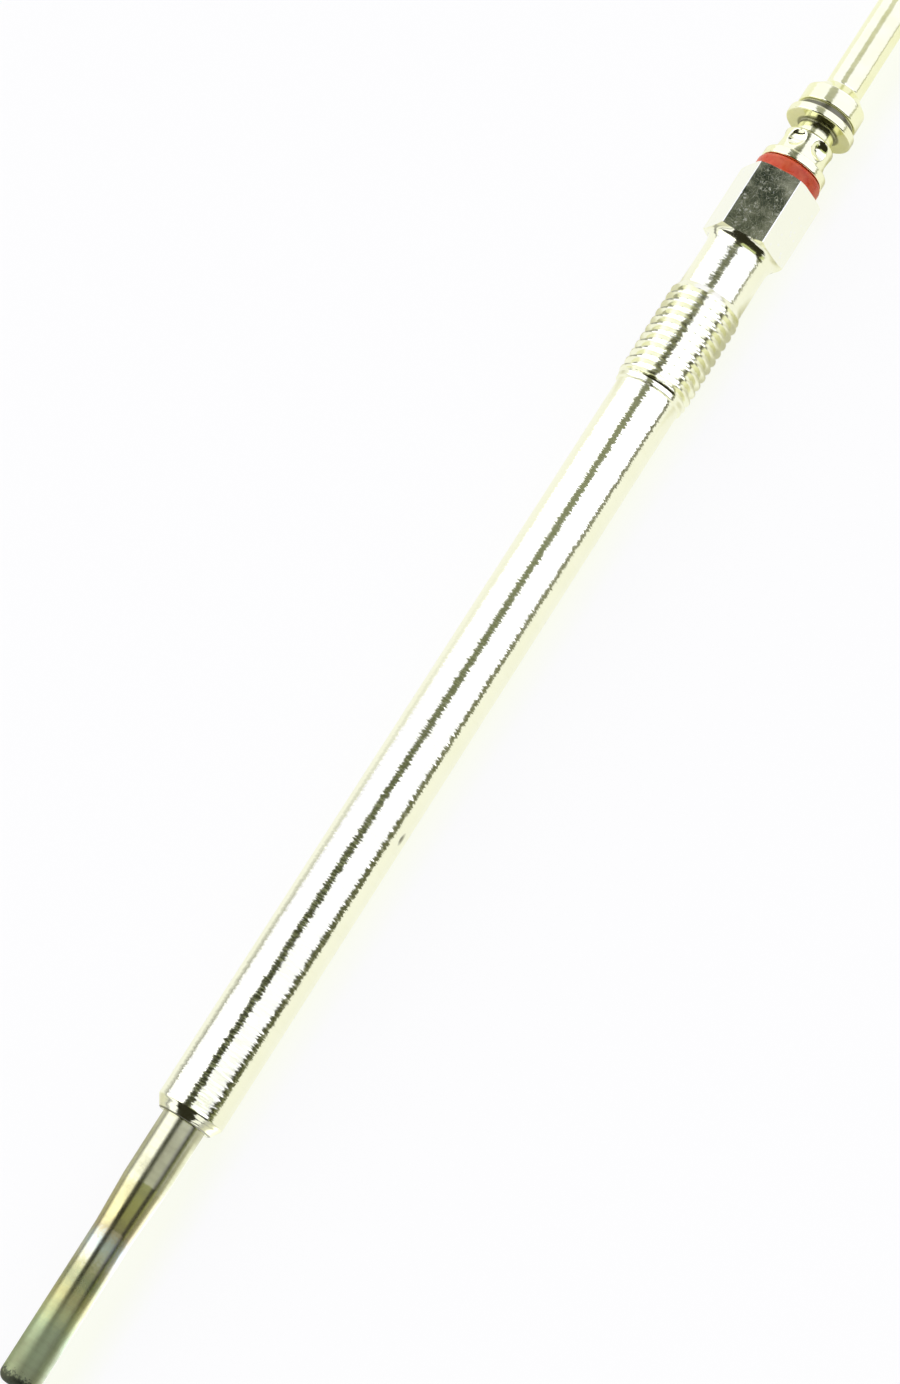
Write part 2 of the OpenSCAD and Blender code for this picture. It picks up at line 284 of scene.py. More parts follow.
# A node group with named inputs and outputs; returns the tree, its inputs and its outputs
def makeGroup(name, inputs, outputs):
    tree = bpy.data.node_groups.new(name, "ShaderNodeTree")
    for label, value in inputs.items():
        socket = tree.interface.new_socket(label, in_out="INPUT", socket_type="NodeSocketFloat")
        socket.default_value = value
    for label in outputs:
        tree.interface.new_socket(label, in_out="OUTPUT", socket_type="NodeSocketFloat")
    return tree, tree.nodes.new("NodeGroupInput").outputs, tree.nodes.new("NodeGroupOutput").inputs


# Sizes are given in mm here and reach the group in metres
def useGroup(tree, group, **sizes):
    node = put(tree, "Group", node_tree=group)
    for label, size in sizes.items():
        node.inputs[label].default_value = size * mm
    return node.outputs


# The noises of the lathe marks: output, place, scale, detail and roughness
markNoises = [
    ("Height", (0, 0, 0), 1.0, 2.0, 0.6), ("Tone", (0, 0, 0), 0.31, 3.0, 0.6),
    ("Sway", (3.7, 11.3, 5.1), 1.25, 1.0, 0.5), ("Streak", (17.9, 2.3, 8.6), 0.9, 1.0, 0.5),
]
fineSpan = (0.3, 0.7)  # most of a soft noise lies in this span


# Fine lathe marks: noise drawn out round the axis, with Along and Across as the size of a mark in metres
def makeTurningMarks(noises):
    sizes = {"Along": 0.00014, "Across": 0.0014}
    tree, given, out = makeGroup("turningMarks", sizes, [noise[0] for noise in noises])
    point = markPoint(tree, given["Along"], given["Across"])
    for label, place, scale, detail, rough in noises:
        moved = vectorCalc(tree, "ADD", point, place)
        tree.links.new(noiseOf(tree, moved, scale, detail, rough), out[label])
    return tree


# Uneven haze on plating: two soft noises, with Size as the width of a cloud in metres
def makePlatingHaze():
    tree, given, out = makeGroup("platingHaze", {"Size": 0.004}, ["Mask", "Fine"])
    point = markPoint(tree, given["Size"], given["Size"])
    cloud = noiseOf(tree, point, 1.0, 4.0, 0.55)
    tree.links.new(remap(tree, cloud, 0.38, 0.68), out["Mask"])
    tree.links.new(noiseOf(tree, point, 9.0, 3.0, 0.6), out["Fine"])
    return tree


# Small grains: cells of about Size metres, each with its own height, and a mask of the few that shine
def makeGrit():
    tree, given, out = makeGroup("grit", {"Size": 0.00022}, ["Height", "Spark"])
    point = markPoint(tree, given["Size"], given["Size"])
    cell = put(tree, "TexVoronoi", {"Vector": point, "Scale": 1.0}, feature="F1")
    tone = put(tree, "SeparateColor", {"Color": cell.outputs["Color"]}).outputs[0]
    core = remap(tree, cell.outputs["Distance"], 0.55, 0.2)
    tree.links.new(mixValue(tree, 0.5, tone, noiseOf(tree, point, 0.6)), out["Height"])
    tree.links.new(product(tree, remap(tree, tone, 0.8, 0.92), core), out["Spark"])
    return tree


turningMarks = makeTurningMarks(markNoises)
platingHaze = makePlatingHaze()
grit = makeGrit()
print("shared node groups built")


def startMaterial(name, **sockets):
    material = bpy.data.materials.new(name)
    material.use_nodes = True
    tree = material.node_tree
    shader = tree.nodes["Principled BSDF"]
    for label, value in sockets.items():
        shader.inputs[label.replace("_", " ")].default_value = value
    return material, tree, shader.inputs


# Depth in mm
def bumpOf(tree, height, depth, normal=None):
    inputs = {"Height": height, "Distance": depth * mm, "Strength": 1.0}
    if normal is not None:
        inputs["Normal"] = normal
    return put(tree, "Bump", inputs).outputs["Normal"]


# The surface direction turned a little round the axis, by so much at the ends of a mark, and leant towards +X
def swayedNormal(tree, sway, amount, lean):
    axis = (1, 0, 0)
    normal = put(tree, "NewGeometry").outputs["Normal"]
    turn = product(tree, calc(tree, "SUBTRACT", sway, 0.5), amount)
    across = scaled(tree, vectorCalc(tree, "CROSS_PRODUCT", axis, normal), turn)
    tilted = vectorCalc(tree, "ADD", normal, across)
    tilted = vectorCalc(tree, "ADD", tilted, scaled(tree, axis, lean))
    return vectorCalc(tree, "NORMALIZE", tilted)


# What the platings share: spans of the noise that shades, dulls and leans, and how the painted shade in
# corners and grooves and a stain look. The core is the share of a spot's width that is fully dark.
plating = {
    "shadeSpan": (0.55, 0.8), "dullSpan": (0.4, 0.8), "streakSpan": (0.5, 0.7),
    "recessShade": (0.1, 0.095, 0.06), "recessShadeRough": 0.2, "recessShadeCore": 0.5,
    "stain": (0.12, 0.12, 0.07), "stainShare": 0.8, "stainCore": 0.3, "stainSquash": (0.45, 1, 1),
}


# Bright plating over lathe marks: haze dulls it in clouds, the marks turn the surface a little, and some
# streaks lean it towards +X. Painted shade lies in rings in corners and grooves, each with its place, radius,
# width and strength; it darkens the colour and roughens the surface there.
def platingMaterial(name, look):
    material, tree, socket = startMaterial(name, Metallic=1.0)
    marks = useGroup(tree, turningMarks, Along=look["markAlong"], Across=look["markAcross"])
    haze = useGroup(tree, platingHaze, Size=look["hazeSize"])
    tint = mixColor(tree, haze["Mask"], look["bright"], look["dull"])
    shade = remap(tree, marks["Tone"], *plating["shadeSpan"], 0.0, look["markShade"])
    tint = mixColor(tree, shade, tint, look["mark"])
    dulled = mixValue(tree, haze["Mask"], look["smooth"], look["rough"])
    extra = remap(tree, marks["Tone"], *plating["dullSpan"], 0.0, look["markRough"])
    dulled = calc(tree, "ADD", dulled, extra)
    x, y, z = placeInMm(tree)
    radius = calc(tree, "SQRT", calc(tree, "MULTIPLY_ADD", y, y, product(tree, z, z)))
    spot = put(tree, "CombineXYZ", {0: x, 1: radius}).outputs[0]
    # painted shade: each ring darkens the colour towards the shade colour and makes it rougher
    for at, ringRadius, wide, strength in look["recessShade"]:
        away = distance(tree, spot, (at, ringRadius, 0))
        held = remap(tree, away, wide, plating["recessShadeCore"] * wide, 0.0, strength, way="SMOOTHSTEP")
        tint = mixColor(tree, held, tint, plating["recessShade"])
        dulled = calc(tree, "MULTIPLY_ADD", held, plating["recessShadeRough"], dulled)
    if "stain" in look:  # one dark spot, drawn out along the axis
        at, turn, stainRadius, wide = look["stain"]
        squash = plating["stainSquash"]
        centre = around(at, stainRadius, np.radians(turn)) * squash
        away = distance(tree, vectorCalc(tree, "MULTIPLY", pointInMm(tree), squash), centre.tolist())
        held = remap(tree, away, wide, plating["stainCore"] * wide, 0.0, plating["stainShare"])
        tint = mixColor(tree, held, tint, plating["stain"])
    tree.links.new(tint, socket["Base Color"])
    tree.links.new(dulled, socket["Roughness"])
    streak = remap(tree, marks["Streak"], *plating["streakSpan"])
    lean = product(tree, streak, brokenLine(tree, x, look["streakLean"]))
    turned = swayedNormal(tree, marks["Sway"], look["sway"], lean)
    wave = bumpOf(tree, haze["Fine"], look["waveDeep"], turned)
    tree.links.new(bumpOf(tree, marks["Height"], look["markDeep"], wave), socket["Normal"])
    return material


# Fades are counted from the thread's ends. The run-in rises in steps (start, end, share). Corner columns are
# degrees to both sides of each corner of the hexagon.
plugBody = {
    "seatSmall": 5.5, "seatRound": 0.22, "shank": 7.0, "shankRound": 0.3, "rowSpacing": 2.0, "hold": 0.05,
    "threadAt": 83.4, "threadLong": 12.0, "crest": 7.8, "root": 6.8, "pitch": 1.0, "runOut": 0.8,
    "firstGroove": 84.4, "grooveTurn": 17.0, "grooveFlat": 0.128, "grooveFlank": 0.289, "rowsPerTurn": 24,
    "fadeIn": (0.7, 1.1), "fadeOut": (-0.62, -0.5), "runIn": [(0.0, 0.16, 0.55), (0.6, 1.0, 0.45)],
    "neckLong": 5.2, "flareLong": 1.15, "flare": 7.6, "flarePower": 1.9, "flareRows": 13,
    "flats": 8.0, "hexLong": 8.0, "hexFace": 8.1, "hexChamfer": 0.2, "cornerRound": 0.15, "edgeBreak": 0.06,
    "sheathBore": 4.54, "poleBore": 4.0, "counterbore": 6.0, "stopGap": 0.2, "sealGap": 0.02,
    "nickAt": 32.3, "nickTurn": 71.0, "nickLong": 0.5, "nickWide": 0.26, "nickDeep": 0.12,
    "nickReach": 0.8, "nickRows": 21, "columnStep": 2.5, "cornerColumns": (0.31, 0.63, 0.94, 1.5),
}


# Thread radius: a V groove along a right-hand helix, x / pitch - angle / turn being whole at the groove's
# middle, with flat root, flanks and crest; it fades in and out, the crests rise in two steps at the low end,
# and a cone trims them at the high end.
def threadRadius(size, x, angle):
    shankR, crestR, rootR = size["shank"] / 2, size["crest"] / 2, size["root"] / 2
    low, high = size["threadAt"], size["threadAt"] + size["threadLong"]
    turns = (angle - np.radians(size["grooveTurn"])) / (2 * np.pi)
    phase = (x - size["firstGroove"]) / size["pitch"] - turns
    offset = np.abs(phase - np.round(phase))
    lift = np.clip((offset - size["grooveFlat"]) / size["grooveFlank"], 0, 1)
    fade = smoothStep(*size["fadeIn"], x - low) * (1 - smoothStep(*size["fadeOut"], x - high))
    thread = crestR - (crestR - rootR) * (1 - lift) * fade
    rise = sum(share * smoothStep(start, end, x - low) for start, end, share in size["runIn"])
    fall = np.clip((high - x) / size["runOut"], 0, 1)
    return np.minimum(thread, shankR + (crestR - shankR) * np.minimum(rise, fall))


# Hexagon radius by angle from the nearest corner: the flat's distance over a cosine, with an arc at the corner
def hexRadius(size, angle):
    flat, arc = size["flats"] / 2, size["cornerRound"]
    away = np.abs(np.mod(np.degrees(angle), 60) - 30)
    centre = (flat - arc) / np.cos(np.radians(30))
    reach = np.degrees(np.arctan2(arc / 2, centre + arc * np.cos(np.radians(30))))
    side = np.radians(np.minimum(away, reach))
    rounded = centre * np.cos(side) + np.sqrt(arc ** 2 - (centre * np.sin(side)) ** 2)
    return np.where(away < reach, rounded, flat / np.cos(np.radians(30 - away)))


# The sealing cone and the shank up to the thread, with extra rows at the nick, a hollow that falls off as a
# bell curve of the distance from its middle
def lowerBody(size, angle):
    shankR = size["shank"] / 2
    rows = turnedOutline([
        (bodyLow, size["sheathBore"] / 2), (bodyLow, size["seatSmall"] / 2, size["seatRound"]),
        (0, shankR, size["shankRound"], size["rowSpacing"]), (size["threadAt"], shankR),
    ])
    nickX = size["nickAt"] + np.linspace(-size["nickReach"], size["nickReach"], size["nickRows"])
    rows = np.vstack([rows, np.stack([nickX, np.full(len(nickX), shankR)], axis=-1)])
    rows[np.isclose(rows[:, 1], shankR), 1] = shankR
    outside = np.flatnonzero(rows[:, 1] == shankR)
    rows[outside] = rows[outside][np.argsort(rows[outside, 0])]
    x, radius = rows[:, 0:1], rows[:, 1:2]
    aside = (angle - np.radians(size["nickTurn"])) * shankR
    away = np.hypot((x - size["nickAt"]) / size["nickLong"], aside / size["nickWide"])
    return around(x, radius - np.where(radius == shankR, size["nickDeep"] * np.exp(-away ** 2), 0), angle)


# The neck above the thread and the flare under the hexagon, which widens by a power of its length
def neckAndFlare(size, angle):
    shankR, threadEnd = size["shank"] / 2, size["threadAt"] + size["threadLong"]
    flareAt = threadEnd + size["neckLong"]
    share = np.linspace(0, 1, size["flareRows"])
    flareR = shankR + (size["flare"] / 2 - shankR) * share ** size["flarePower"]
    flare = np.stack([flareAt + size["flareLong"] * share, flareR], axis=-1)
    rows = np.vstack([turnedOutline([(threadEnd, shankR), (flareAt, shankR)])[:-1], flare])
    return around(rows[:, 0:1], rows[:, 1:2], angle)


# The hexagon, with a chamfer that is deepest at the corners and a small edge break along the flats
def hexagonRows(size, angle):
    flatR, faceR, long = hexRadius(size, angle), size["hexFace"] / 2, size["hexLong"]
    cornerR = size["flats"] / 2 / np.cos(np.radians(30))
    inset = np.maximum(size["hexChamfer"] * (flatR - faceR) / (cornerR - faceR), size["edgeBreak"])
    faceR = np.minimum(faceR, flatR - size["edgeBreak"])
    foot, inner = 0 * inset, inset + size["hold"]
    x = np.stack([foot, inset, inner, long - inner, long - inset, long - foot])
    return around(hexEnd - long + x, np.stack([faceR, flatR, flatR, flatR, flatR, faceR]), angle)


# Back through the counterbore, the pole's bore and the sheath's bore
def bodyBores(size, angle):
    boreR, poleR, counterR = size["sheathBore"] / 2, size["poleBore"] / 2, size["counterbore"] / 2
    seat, stop = sealAt - size["sealGap"], sheathEnd + size["stopGap"]
    rows = turnedOutline([
        (hexEnd, counterR), (seat, counterR), (seat, poleR), (stop, poleR), (stop, boreR),
        (bodyLow + size["hold"], boreR),
    ])
    return around(rows[:, 0:1], rows[:, 1:2], angle)


# Directions at the corners of the thread's faces: each face keeps the slopes at its middle, so that crests and
# flanks meet in sharp lines. Slopes are differences over a small step both ways.
def threadNormals(size, x, angle, step=0.002):
    middleX = (x[:-1] + x[1:]) / 2
    nextAngle = np.append(angle[1:], angle[0] + 2 * np.pi)
    middle = (angle + nextAngle) / 2
    slope = threadRadius(size, middleX + step, middle) - threadRadius(size, middleX - step, middle)
    swing = threadRadius(size, middleX, middle + step) - threadRadius(size, middleX, middle - step)
    slope, swing = slope / (2 * step), swing / (2 * step) / threadRadius(size, middleX, middle)
    turn = np.stack([angle, nextAngle, nextAngle, angle], axis=-1)
    slope, swing = slope[..., None] + 0 * turn, swing[..., None]
    up, aside = np.cos(turn), np.sin(turn)
    facing = np.stack([-slope, swing * up - aside, up + swing * aside], axis=-1)
    return (facing / np.linalg.norm(facing, axis=-1, keepdims=True)).reshape(-1, 3)


# The body is one closed loop carried round the axis: outside from the sealing cone to the hexagon, then back
# inside. The hexagon's flats get a material of their own.
def buildBody(size):
    corner, near = 30 + 60 * np.arange(6)[:, None], np.array(size["cornerColumns"])
    even = np.arange(0, 360, size["columnStep"])
    angle = np.radians(np.sort(np.concatenate([even, (corner + near).ravel(), (corner - near).ravel()])))
    threadRows = int(size["threadLong"] / size["pitch"] * size["rowsPerTurn"]) + 1
    threadX = np.linspace(size["threadAt"], size["threadAt"] + size["threadLong"], threadRows)[1:-1, None]
    blocks = [
        lowerBody(size, angle), around(threadX, threadRadius(size, threadX, angle), angle),
        neckAndFlare(size, angle), hexagonRows(size, angle), bodyBores(size, angle),
    ]
    body = makePiece("plugBody", np.concatenate(blocks))
    columns = len(angle)
    facing = threadNormals(size, threadX, angle)
    firstThread = 4 * len(blocks[0]) * columns
    normals = np.zeros((len(body.data.loops), 3))  # zeros keep the mesh's own directions
    normals[firstThread:firstThread + len(facing)] = facing
    body.data.normals_split_custom_set(normals.tolist())
    firstFlat = (sum(len(block) for block in blocks[:3]) + 1) * columns
    finish = np.zeros(len(body.data.polygons), np.int32)
    finish[firstFlat:firstFlat + 3 * columns] = 1
    body.data.polygons.foreach_set("material_index", finish)
    return body


bodyLook = {
    "bright": (0.955, 0.96, 0.73), "dull": (0.94, 0.945, 0.7), "mark": (0.9, 0.9, 0.64), "markShade": 0.4,
    "smooth": 0.09, "rough": 0.13, "markRough": 0.05, "hazeSize": 5.0,
    "markAlong": 0.16, "markAcross": 1.5, "markDeep": 0.0012, "waveDeep": 0.001,
    "sway": 0.23, "streakLean": [(0.0, 0.14), (80.0, 0.03)],
    # a ring of painted shade at the sealing cone's low edge, next to the heater
    "recessShade": [(bodyLow, 2.75, 0.2, 0.8)], "stain": (32.3, 72.0, 3.45, 0.36),
}
flatLook = {
    "metal": (0.95, 0.96, 0.8), "spark": (0.96, 0.97, 0.88), "grain": 0.34, "grainDeep": 0.0022,
    "smooth": 0.05, "rough": 0.11, "hazeSize": 1.6, "sparkRough": 0.2,
    "edgeRough": 0.03, "edgeSpan": (1.0, -2.3),
}


# Hexagon flats: bright metal with a fine grit that catches the light in specks, duller towards -Y
def flatMaterial(look):
    material, tree, socket = startMaterial("grittyFlats", Metallic=1.0)
    grains = useGroup(tree, grit, Size=look["grain"])
    haze = useGroup(tree, platingHaze, Size=look["hazeSize"])
    tree.links.new(mixColor(tree, grains["Spark"], look["metal"], look["spark"]), socket["Base Color"])
    rough = mixValue(tree, haze["Mask"], look["smooth"], look["rough"])
    y = placeInMm(tree)[1]
    rough = calc(tree, "ADD", rough, remap(tree, y, *look["edgeSpan"], 0.0, look["edgeRough"]))
    tree.links.new(mixValue(tree, grains["Spark"], rough, look["sparkRough"]), socket["Roughness"])
    tree.links.new(bumpOf(tree, grains["Height"], look["grainDeep"]), socket["Normal"])
    return material


body = buildBody(plugBody)
settle(body, "body_shell", "plated_steel", platingMaterial("warmPlating", bodyLook), flatMaterial(flatLook))
print("body:", len(body.data.polygons), "faces")


heaterSheath = {
    "low": 4.0, "top": 4.5, "lowLong": 16.7, "swageLong": 5.1, "tipRound": 1.1, "wall": 0.5, "tipWall": 1.0,
    "swageRound": 0.6, "edgeRound": 0.1, "rowSpacing": 0.5, "columns": 128,
}


# The sheath is a closed tube: its outline runs from the middle of the tip up the outside and back down inside
def buildSheath(size):
    lowR, topR, wall, edge = size["low"] / 2, size["top"] / 2, size["wall"], size["edgeRound"]
    lowEnd = tipAt + size["lowLong"]
    swageEnd = lowEnd + size["swageLong"]
    bottom = tipAt + size["tipWall"]
    outline = turnedOutline([
        (tipAt, 0), (tipAt, lowR, size["tipRound"]), (lowEnd, lowR, size["swageRound"]),
        (swageEnd, topR, edge, size["rowSpacing"]), (sheathEnd, topR, edge), (sheathEnd, topR - wall),
        (swageEnd, topR - wall), (lowEnd, lowR - wall), (bottom, lowR - wall), (bottom, 0),
    ])
    return makeTurned("heaterSheath", outline, evenAngles(size["columns"]))


# Heat tint by distance from the tip in mm, hottest end first: oxide grey, straw and brown, blue, straw, bare
# steel. The oxide's roughness gives way to the bare one over a span of the tint's length.
sheathLook = {
    "tint": [
        (0.0, (0.06, 0.08, 0.06)), (0.9, (0.1, 0.12, 0.08)), (1.3, (0.38, 0.44, 0.235)),
        (6.0, (0.405, 0.49, 0.27)), (7.6, (0.5, 0.545, 0.265)), (9.6, (0.47, 0.45, 0.2)),
        (11.4, (0.34, 0.375, 0.205)), (12.6, (0.44, 0.43, 0.235)), (13.8, (0.52, 0.53, 0.41)),
        (15.2, (0.47, 0.54, 0.48)), (16.5, (0.45, 0.4, 0.24)), (17.6, (0.5, 0.46, 0.235)),
        (19.4, (0.54, 0.505, 0.265)), (21.4, (0.55, 0.53, 0.31)), (22.0, (0.57, 0.57, 0.38)),
        (28.0, (0.58, 0.58, 0.4)),
    ],
    "tintLong": 28.0, "waver": 1.0, "oxideRough": 0.48, "bareRough": 0.2, "roughSpan": (0.12, 0.42),
    "hazeSize": 2.4, "hazeRough": 0.08, "markAlong": 0.1, "markAcross": 1.1, "markDeep": 0.0008,
    "streak": (0.16, 0.15, 0.1), "streakSpan": (0.45, 0.75), "streakShare": 0.14,
    "stain": (0.3, 0.28, 0.15), "stainSpan": (0.2, 1.0), "stainShare": 0.3,
}


def sheathMaterial(look):
    material, tree, socket = startMaterial("heatTintedSheath", Metallic=1.0)
    marks = useGroup(tree, turningMarks, Along=look["markAlong"], Across=look["markAcross"])
    haze = useGroup(tree, platingHaze, Size=look["hazeSize"])
    shift = remap(tree, haze["Fine"], *fineSpan, -look["waver"] / 2, look["waver"] / 2)
    place = calc(tree, "ADD", placeInMm(tree)[0], shift)
    share = remap(tree, place, tipAt, tipAt + look["tintLong"])
    tint = rampOf(tree, share, [(at / look["tintLong"], color) for at, color in look["tint"]])
    streak = remap(tree, marks["Tone"], *look["streakSpan"], 0.0, look["streakShare"])
    tint = mixColor(tree, streak, tint, look["streak"])
    stain = remap(tree, haze["Mask"], *look["stainSpan"], 0.0, look["stainShare"])
    tree.links.new(mixColor(tree, stain, tint, look["stain"]), socket["Base Color"])
    rough = remap(tree, share, *look["roughSpan"], look["oxideRough"], look["bareRough"])
    rough = calc(tree, "MULTIPLY_ADD", haze["Mask"], look["hazeRough"], rough)
    tree.links.new(rough, socket["Roughness"])
    tree.links.new(bumpOf(tree, marks["Height"], look["markDeep"]), socket["Normal"])
    return material


sheath = buildSheath(heaterSheath)
settle(sheath, "heater_tube", "heat_tinted_sheath", sheathMaterial(sheathLook))
print("sheath:", len(sheath.data.polygons), "faces")


redRing = {
    "outer": 7.2, "hole": 3.2, "spigot": 5.96, "round": 0.55, "edgeBreak": 0.15, "spigotRound": 0.1,
    "columns": 160,
}


# The ring is one closed loop: spigot face, spigot, rim with its rounded edge, and the pole's hole
def buildRing(size):
    holeR, spigotR, rimR = size["hole"] / 2, size["spigot"] / 2, size["outer"] / 2
    outline = turnedOutline([
        (spigotAt, holeR), (spigotAt, spigotR, size["spigotRound"]), (hexEnd, spigotR),
        (hexEnd, rimR, size["edgeBreak"]), (ringEnd, rimR, size["round"]), (ringEnd, holeR),
    ], closed=True)
    return makePiece("redRing", around(outline[:, 0:1], outline[:, 1:2], evenAngles(size["columns"])))


ringLook = {
    "red": (0.74, 0.062, 0.006), "worn": (0.84, 0.16, 0.05), "grain": 0.25, "grainDeep": 0.004,
    "hazeSize": 1.2, "smooth": 0.26, "rough": 0.38,
}


def ringMaterial(look):
    material, tree, socket = startMaterial("redInsulator", Metallic=0.0, Specular_IOR_Level=0.35)
    grains = useGroup(tree, grit, Size=look["grain"])
    haze = useGroup(tree, platingHaze, Size=look["hazeSize"])
    tree.links.new(mixColor(tree, haze["Mask"], look["red"], look["worn"]), socket["Base Color"])
    tree.links.new(mixValue(tree, haze["Mask"], look["smooth"], look["rough"]), socket["Roughness"])
    tree.links.new(bumpOf(tree, grains["Height"], look["grainDeep"]), socket["Normal"])
    return material


ring = buildRing(redRing)
settle(ring, "insulating_ring", "red_insulator", ringMaterial(ringLook))
print("red ring:", len(ring.data.polygons), "faces")


roundTerminal = {
    "collar": 7.0, "collarThick": 1.0, "sleeve": 5.5, "sleeveLong": 4.0, "neck": 4.0, "neckLong": 1.5,
    "flange": 7.45, "flangeThick": 0.9, "groove": 6.0, "grooveLong": 0.8,
    "shoulder": 6.7, "shoulderLong": 1.9, "coneLong": 1.3, "pin": 4.0, "hole": 3.14, "holeLong": 5.0,
    "edgeBreak": 0.15, "collarFillet": 0.25, "sleeveRound": 0.35, "neckFillets": (0.12, 0.15),
    "grooveFillet": 0.1, "coneRound": 0.2, "pinFillet": 0.4, "pinRound": 0.9,
    "dimples": 6, "dimpleWide": 2.0, "dimpleDeep": 0.4, "dimpleAt": 2.7, "dimpleTurn": 40.0, "rimSoft": 0.05,
    "rowsFrom": 0.33, "rowStep": 0.05, "sleeveNear": 0.2, "columns": 360,
}


# Depth of the pressed dimples: caps of one sphere each, at even turns round the sleeve, with a softened rim
def dimpleShift(size, x, r, angle):
    wide, deep, sleeveR = size["dimpleWide"] / 2, size["dimpleDeep"], size["sleeve"] / 2
    ball = (wide ** 2 + deep ** 2) / (2 * deep)
    step = 2 * np.pi / size["dimples"]
    turn = np.mod(angle - np.radians(size["dimpleTurn"]) + step / 2, step) - step / 2
    away = np.hypot(x - sleeveFoot - size["dimpleAt"], turn * sleeveR)
    cap = np.sqrt(np.maximum(ball ** 2 - away ** 2, 0)) - (ball - deep)
    sunk = (cap + np.sqrt(cap ** 2 + size["rimSoft"] ** 2)) / 2
    onSleeve = (np.abs(r - sleeveR) < size["sleeveNear"]) & (x > sleeveFoot + size["collarThick"])
    onSleeve = onSleeve & (x < sleeveFoot + size["sleeveLong"])
    return -np.where(onSleeve, sunk, 0)


# The terminal's outline runs from the bottom of the pole's hole round the sleeve's foot and along the outside,
# with close rows on the sleeve for its dimples
def buildTerminal(size):
    holeEnd = sleeveFoot + size["holeLong"]
    collarEnd = sleeveFoot + size["collarThick"]
    sleeveEnd = sleeveFoot + size["sleeveLong"]
    flangeAt = sleeveEnd + size["neckLong"]
    grooveAt = flangeAt + size["flangeThick"]
    shoulderAt = grooveAt + size["grooveLong"]
    coneAt = shoulderAt + size["shoulderLong"]
    pinAt = coneAt + size["coneLong"]
    edge, dip, neckFillets = size["edgeBreak"], size["grooveFillet"], size["neckFillets"]
    holeR, sleeveR, neckR, pinR = size["hole"] / 2, size["sleeve"] / 2, size["neck"] / 2, size["pin"] / 2
    flangeR, grooveR, shoulderR = size["flange"] / 2, size["groove"] / 2, size["shoulder"] / 2
    collarR = size["collar"] / 2
    outline = turnedOutline([
        (holeEnd, 0), (holeEnd, holeR), (sleeveFoot, holeR), (sleeveFoot, collarR, edge),
        (collarEnd, collarR, edge), (collarEnd, sleeveR, size["collarFillet"]),
        (sleeveEnd, sleeveR, size["sleeveRound"]), (sleeveEnd, neckR, neckFillets[0]),
        (flangeAt, neckR, neckFillets[1]), (flangeAt, flangeR, edge), (grooveAt, flangeR, edge),
        (grooveAt, grooveR, dip), (shoulderAt, grooveR, dip), (shoulderAt, shoulderR, edge),
        (coneAt, shoulderR, size["coneRound"]), (pinAt, pinR, size["pinFillet"]),
        (pinEnd, pinR, size["pinRound"]), (pinEnd, 0),
    ])
    rowStep = size["rowStep"]
    sleeveX = np.arange(collarEnd + size["rowsFrom"], sleeveEnd - size["sleeveRound"] - rowStep, rowStep)
    before = np.flatnonzero((outline[:, 0] < sleeveX[0]) & (outline[:, 1] > sleeveR - rowStep))[-1] + 1
    extra = np.stack([sleeveX, np.full(len(sleeveX), sleeveR)], axis=-1)
    outline = np.vstack([outline[:before], extra, outline[before:]])

    def pressed(x, r, angle):
        return dimpleShift(size, x, r, angle)

    return makeTurned("roundTerminal", outline, evenAngles(size["columns"]), pressed)


terminalLook = {
    "bright": (0.95, 0.955, 0.65), "dull": (0.93, 0.93, 0.56), "mark": (0.88, 0.87, 0.55), "markShade": 0.4,
    "smooth": 0.07, "rough": 0.13, "markRough": 0.05, "hazeSize": 3.0,
    "markAlong": 0.12, "markAcross": 1.2, "markDeep": 0.0008, "waveDeep": 0.0006,
    "sway": 0.16, "streakLean": [(0.0, 0.0)],
    # rings of painted shade in the corner between the neck and the flange, and in the groove above the flange
    "recessShade": [(sleeveFoot + 5.5, 2.0, 0.5, 0.7), (sleeveFoot + 6.8, 3.0, 0.5, 0.9)],
}
terminal = buildTerminal(roundTerminal)
settle(terminal, "terminal", "plated_terminal", platingMaterial("terminalPlating", terminalLook))
print("terminal:", len(terminal.data.polygons), "faces")


coilWire = {
    "wire": 0.35, "coil": 1.5, "lead": 1.1, "bend": 0.4, "heatingTurns": 8, "controlTurns": 12,
    "sides": 12, "stepsPerTurn": 32, "bendSteps": 6, "sharp": 50,
}


